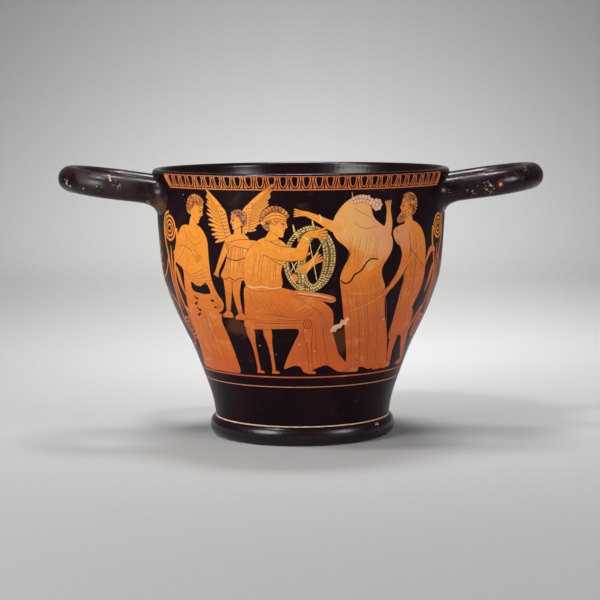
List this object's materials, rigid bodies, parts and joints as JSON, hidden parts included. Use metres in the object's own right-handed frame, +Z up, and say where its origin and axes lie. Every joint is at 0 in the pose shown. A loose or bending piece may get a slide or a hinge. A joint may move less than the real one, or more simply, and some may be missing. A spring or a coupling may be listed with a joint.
{
  "type": "terracotta skyphos",
  "caption": "Deep two-handled drinking cup in red-figure terracotta: hollow bowl on a ring foot, with a horizontal loop handle on each side of the lip.",
  "frame": {"origin": "centre of the foot's resting ring, on the surface the cup stands on", "axes": "+Z up along the bowl's axis, +X through one handle, -Y towards the viewer of the front picture"},
  "size_m": [0.4594, 0.2814, 0.2557],
  "materials": {
    "painted_clay": "satin black gloss slip with reserved orange clay"
  },
  "bodies": {
    "root": {"skyphos": "painted_clay"}
  },
  "joints": []
}
